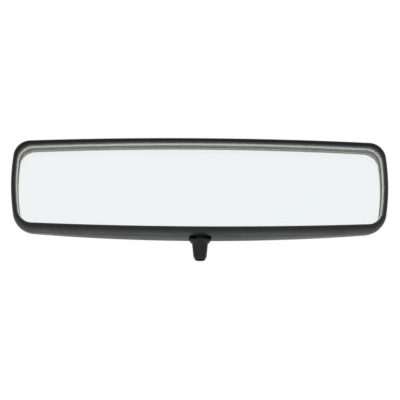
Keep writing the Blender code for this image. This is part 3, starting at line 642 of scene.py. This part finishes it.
def mount_stud(material):
    """The same ball and neck, with a flange and a shank that the casting holds."""
    flange_low = 11.9 * MM
    flange_high = 13.7 * MM
    profile = neck_and_ball() + [
        (NECK, flange_low - 0.6 * MM), (NECK + 0.6 * MM, flange_low), (4.8 * MM, flange_low),
        (5.2 * MM, flange_low + 0.4 * MM), (5.2 * MM, flange_high - 0.2 * MM),
        (5.0 * MM, flange_high), (3 * MM, flange_high), (3 * MM, 21 * MM), (0, 21 * MM),
    ]
    piece = placed("mount_stud", turned(profile, 72), MOUNT_STUD_FRAME, material)
    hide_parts("mount_ball_stud")
    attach(piece, "windshield_mount")


def liner(name, node, body, material, place, side):
    """Nylon zone between ball and cup, its mouth towards side times Z."""
    inner = BALL_RADIUS + 0.3 * MM
    outer = inner + 0.6 * MM
    near = math.radians(60)
    far = math.radians(108)
    profile = arc_profile(outer, near, far, 16) + arc_profile(inner, far, near, 16)
    profile = [(radius, side * height) for radius, height in profile]
    piece = placed(name, turned(profile, 72, closed=True), place, material)
    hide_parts(node)
    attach(piece, body)


def block(low, high, bevel=0.0, segments=4):
    """Box mesh with rounded edges."""
    bm = bmesh.new()
    centre = (Vector(low) + Vector(high)) / 2
    size = Vector(high) - Vector(low)
    bmesh.ops.create_cube(
        bm, size=1, matrix=Matrix.Translation(centre) @ Matrix.Diagonal((*size, 1)))
    if bevel:
        bmesh.ops.bevel(
            bm, geom=bm.edges[:], offset=bevel, segments=segments, profile=0.5, affect="EDGES")
    return bm


def wedge(top_half, base_half, span, heights):
    """Trapezoid bar along Y: narrow at its top, wide at its base."""
    bm = block((-1, span[0], heights[0]), (1, span[1], heights[1]))
    middle = sum(heights) / 2
    for vert in bm.verts:
        vert.co.x *= top_half if vert.co.z > middle else base_half
    return bm


def softened(piece, width, segments=2):
    """Round the sharp edges that the cuts left."""
    step = piece.modifiers.new("soft_edges", "BEVEL")
    step.width = width
    step.segments = segments
    step.limit_method = "ANGLE"
    step.angle_limit = math.radians(40)
    step.harden_normals = True


def casting(material):
    """Die-cast channel that slides over the button, with the stud's boss below."""
    base = -BUTTON_THICKNESS
    low = (-15 * MM, -9 * MM, -13.95 * MM)
    high = (15 * MM, 19.9 * MM, -0.65 * MM)
    body = placed("mount_casting", block(low, high, 1.6 * MM), MOUNT_FRAME, material)
    boss_profile = (
        (0, 14 * MM), (5.7 * MM, 14 * MM), (6.05 * MM, 14.15 * MM), (6.2 * MM, 14.5 * MM),
        (6.2 * MM, 23 * MM), (0, 23 * MM),
    )
    boss = placed("boss_cutter", turned(boss_profile, 64), MOUNT_STUD_FRAME)
    carved(body, boss, operation="UNION")
    channel = placed(
        "channel_cutter",
        wedge(9.3 * MM, 11.1 * MM, (-25 * MM, 13.3 * MM), (base - 0.3 * MM, 0.3 * MM)), MOUNT_FRAME)
    bore_profile = ((0, 12 * MM), (3.3 * MM, 12 * MM), (3.3 * MM, 21.3 * MM), (0, 21.3 * MM))
    bore = placed("bore_cutter", turned(bore_profile, 48), MOUNT_STUD_FRAME)
    hole_profile = (
        (0, -16 * MM), (3.3 * MM, -16 * MM), (3.3 * MM, -14 * MM), (2.3 * MM, -13 * MM),
        (2.3 * MM, base), (0, base),
    )
    hole = placed(
        "hole_cutter", turned(hole_profile, 48),
        MOUNT_FRAME @ Matrix.Translation((0, SET_SCREW_Y, 0)))
    carved(body, channel, bore, hole)
    softened(body, 0.25 * MM)
    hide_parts("channel_mount")
    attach(body, "windshield_mount")


def button(material):
    """Dovetail button with rounded corners, bonded to the windshield by its top."""
    bm = wedge(9 * MM, 10.8 * MM, (-13 * MM, 13 * MM), (-BUTTON_THICKNESS, 0))
    uprights = [edge for edge in bm.edges if abs(edge.verts[0].co.z - edge.verts[1].co.z) > MM]
    bmesh.ops.bevel(bm, geom=uprights, offset=3 * MM, segments=8, profile=0.5, affect="EDGES")
    piece = placed("bonded_button", bm, MOUNT_FRAME, material)
    softened(piece, 0.2 * MM)
    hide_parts("windshield_button")
    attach(piece, "windshield_mount")


def grub_screw(material):
    """Set screw with a thread, a hexagon socket and a cup point."""
    radius = 2 * MM
    low = -13.6 * MM
    length = 8.8 * MM
    pitch = 0.7 * MM
    profile = [(0, low), (radius - 0.5 * MM, low), (radius - 0.3 * MM, low + 0.2 * MM)]
    for i in range(11):
        height = low + 0.3 * MM + i * pitch
        profile += [(radius - 0.3 * MM, height), (radius, height + pitch / 2)]
    profile += [(radius - 0.3 * MM, low + length - 0.4 * MM), (radius - 0.8 * MM, low + length),
                (0, low + length - 0.4 * MM)]
    place = MOUNT_FRAME @ Matrix.Translation((0, SET_SCREW_Y, 0))
    piece = placed("grub_screw", turned(profile, 48), place, material)
    bm = bmesh.new()
    bmesh.ops.create_cone(
        bm, cap_ends=True, segments=6, radius1=1.1 * MM, radius2=1.1 * MM, depth=6 * MM,
        matrix=Matrix.Translation((0, 0, low)))
    carved(piece, placed("socket_cutter", bm, place))
    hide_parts("set_screw")
    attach(piece, "windshield_mount")


def dress(material, *nodes):
    """Give carried-over CAD nodes a better material."""
    for name in nodes:
        mesh = frame["nodes"][name].data
        mesh.materials.clear()
        mesh.materials.append(material)


# ---------------------------------------------------------------- studio

def studio():
    """White surround, a graded panel for glossy reflections, and a pale floor."""
    world = bpy.data.worlds.new("studio")
    bpy.context.scene.world = world
    world.use_nodes = True
    tree = world.node_tree
    tree.nodes.clear()
    direction = tree.nodes.new("ShaderNodeTexCoord").outputs["Generated"]
    parts = tree.nodes.new("ShaderNodeSeparateXYZ")
    tree.links.new(direction, parts.inputs["Vector"])
    rising = spread(tree, parts.outputs["Z"], 0.8, 1.0, -0.30, 0.0)
    falling = spread(tree, parts.outputs["Z"], 1.0, 0.0, 0.45, 0.80)
    panel = tree.nodes.new("ShaderNodeMath")
    panel.operation = "MULTIPLY"
    tree.links.new(rising, panel.inputs[0])
    tree.links.new(falling, panel.inputs[1])
    for start, end, far in ((-0.3, -0.8, 0.2), (0.3, 0.8, 0.45)):
        side = spread(tree, parts.outputs["X"], 1.0, far, start, end)
        both = tree.nodes.new("ShaderNodeMath")
        both.operation = "MULTIPLY"
        tree.links.new(panel.outputs["Value"], both.inputs[0])
        tree.links.new(side, both.inputs[1])
        panel = both
    light = spread(tree, panel.outputs["Value"], 0.2, 1.21)
    lighting = tree.nodes.new("ShaderNodeBackground")
    tree.links.new(light, lighting.inputs["Strength"])
    backdrop = tree.nodes.new("ShaderNodeBackground")
    backdrop.inputs["Color"].default_value = (1, 1, 1, 1)
    path = tree.nodes.new("ShaderNodeLightPath")
    either = tree.nodes.new("ShaderNodeMath")
    either.operation = "MAXIMUM"
    tree.links.new(path.outputs["Is Camera Ray"], either.inputs[0])
    tree.links.new(path.outputs["Is Diffuse Ray"], either.inputs[1])
    seen = either.outputs["Value"]
    mix = tree.nodes.new("ShaderNodeMixShader")
    out = tree.nodes.new("ShaderNodeOutputWorld")
    tree.links.new(seen, mix.inputs["Fac"])
    tree.links.new(lighting.outputs["Background"], mix.inputs[1])
    tree.links.new(backdrop.outputs["Background"], mix.inputs[2])
    tree.links.new(mix.outputs["Shader"], out.inputs["Surface"])

    half = 12.0                     # half the floor's side, in metres
    drop = 0.3                      # floor below the head's centre
    floor_mesh = bpy.data.meshes.new("studio_floor")
    level = HEAD.z - drop
    corners = [
        (x, y, level) for x, y in ((-half, -half), (half, -half), (half, half), (-half, half))]
    floor_mesh.from_pydata(corners, [], [(0, 1, 2, 3)])
    floor = bpy.data.objects.new("studio_floor", floor_mesh)
    bpy.context.collection.objects.link(floor)
    pale, _, _, _ = new_material("pale_floor", (0.86, 0.86, 0.85), 0.7)
    floor_mesh.materials.append(pale)


def camera():
    """In front of the mirror, a little below it and to its left, looking slightly up."""
    distance = 0.745
    azimuth = math.radians(1.9)
    rise = math.radians(11.0)
    aim = HEAD + Vector((-0.42, 0, -8.8)) * MM
    heading_out = Vector((
        -math.sin(azimuth) * math.cos(rise), -math.cos(azimuth) * math.cos(rise), -math.sin(rise)))
    data = bpy.data.cameras.new("camera")
    data.sensor_width = 36
    data.lens = 101.78
    made = bpy.data.objects.new("camera", data)
    bpy.context.collection.objects.link(made)
    made.location = HEAD + heading_out * distance
    made.rotation_euler = (aim - made.location).to_track_quat("-Z", "Y").to_euler()
    bpy.context.scene.camera = made


# ---------------------------------------------------------------- the scene

black = moulded_plastic(
    "textured_black_plastic", (0.008, 0.0085, 0.008), (0.014, 0.015, 0.014), 0.5, specular=0.3)
gloss = moulded_plastic(
    "polished_black_wall", (0.012, 0.013, 0.012), (0.016, 0.017, 0.016), 0.12, 0.002 * MM)
gloss.node_tree.nodes["Principled BSDF"].inputs["IOR"].default_value = 1.7
# the shell's base colour is lighter than the bezel's black: painted sheen standing in for the light
# from below on the underside
shell = moulded_plastic(
    "textured_black_shell", (0.03, 0.03, 0.029), (0.04, 0.04, 0.039), 0.42)
tab = moulded_plastic(
    "textured_black_tab", (0.006, 0.006, 0.006), (0.01, 0.011, 0.01), 0.45, specular=0.36)
inner = moulded_plastic(
    "moulded_inner_plastic", (0.012, 0.012, 0.012), (0.022, 0.022, 0.022), 0.45)
nylon = moulded_plastic(
    "natural_nylon", (0.68, 0.65, 0.56), (0.76, 0.73, 0.66), 0.42, pitch=1500)
foam = moulded_plastic(
    "closed_cell_foam", (0.03, 0.03, 0.033), (0.07, 0.07, 0.075), 0.9, 0.15 * MM, 1800)
zinc = metal(
    "zinc_plated_steel", (0.5, 0.51, 0.5), (0.62, 0.63, 0.64), 0.28, stretch=(1, 1, 8))
spring_steel = metal("spring_steel", (0.28, 0.28, 0.29), (0.42, 0.41, 0.4), 0.32)
sintered = metal(
    "sintered_metal", (0.25, 0.25, 0.26), (0.38, 0.38, 0.39), 0.55, 2500, relief=0.04 * MM)
powder = moulded_plastic(
    "black_powder_coat", (0.012, 0.012, 0.013), (0.02, 0.02, 0.021), 0.36, 0.04 * MM, 1400)

# the third material paints the bezel's pale strips with a painted reflection of the frosted glass
# edge
bezel(black, gloss, ground_edge())
glass(clear_glass(), silvering(), ground_edge())
housing(shell)
grip(tab)
arm_sleeve(powder)
head_stud(zinc)
mount_stud(zinc)
liner("lower_liner_ring", "lower_ball_liner", "lower_liner", nylon, ARM_FRAME, -1)
liner("upper_liner_ring", "upper_ball_liner", "upper_liner", nylon, MOUNT_STUD_FRAME, 1)
casting(powder)
button(sintered)
grub_screw(zinc)
dress(inner, "carrier_plate", "toggle_lever")
dress(foam, "foam_pad")
dress(sintered, "lower_plug", "upper_plug")
dress(spring_steel, "toggle_spring", "arm_spring")
dress(zinc, "pivot_bracket", "stud_nut", "tilt_pivot_rod", "lever_pivot_pin",
      *(f"carrier_screw_{number}" for number in range(1, 5)))
dress(silvering(), "silver_backing")
studio()
camera()
bpy.context.scene.view_settings.view_transform = "Standard"
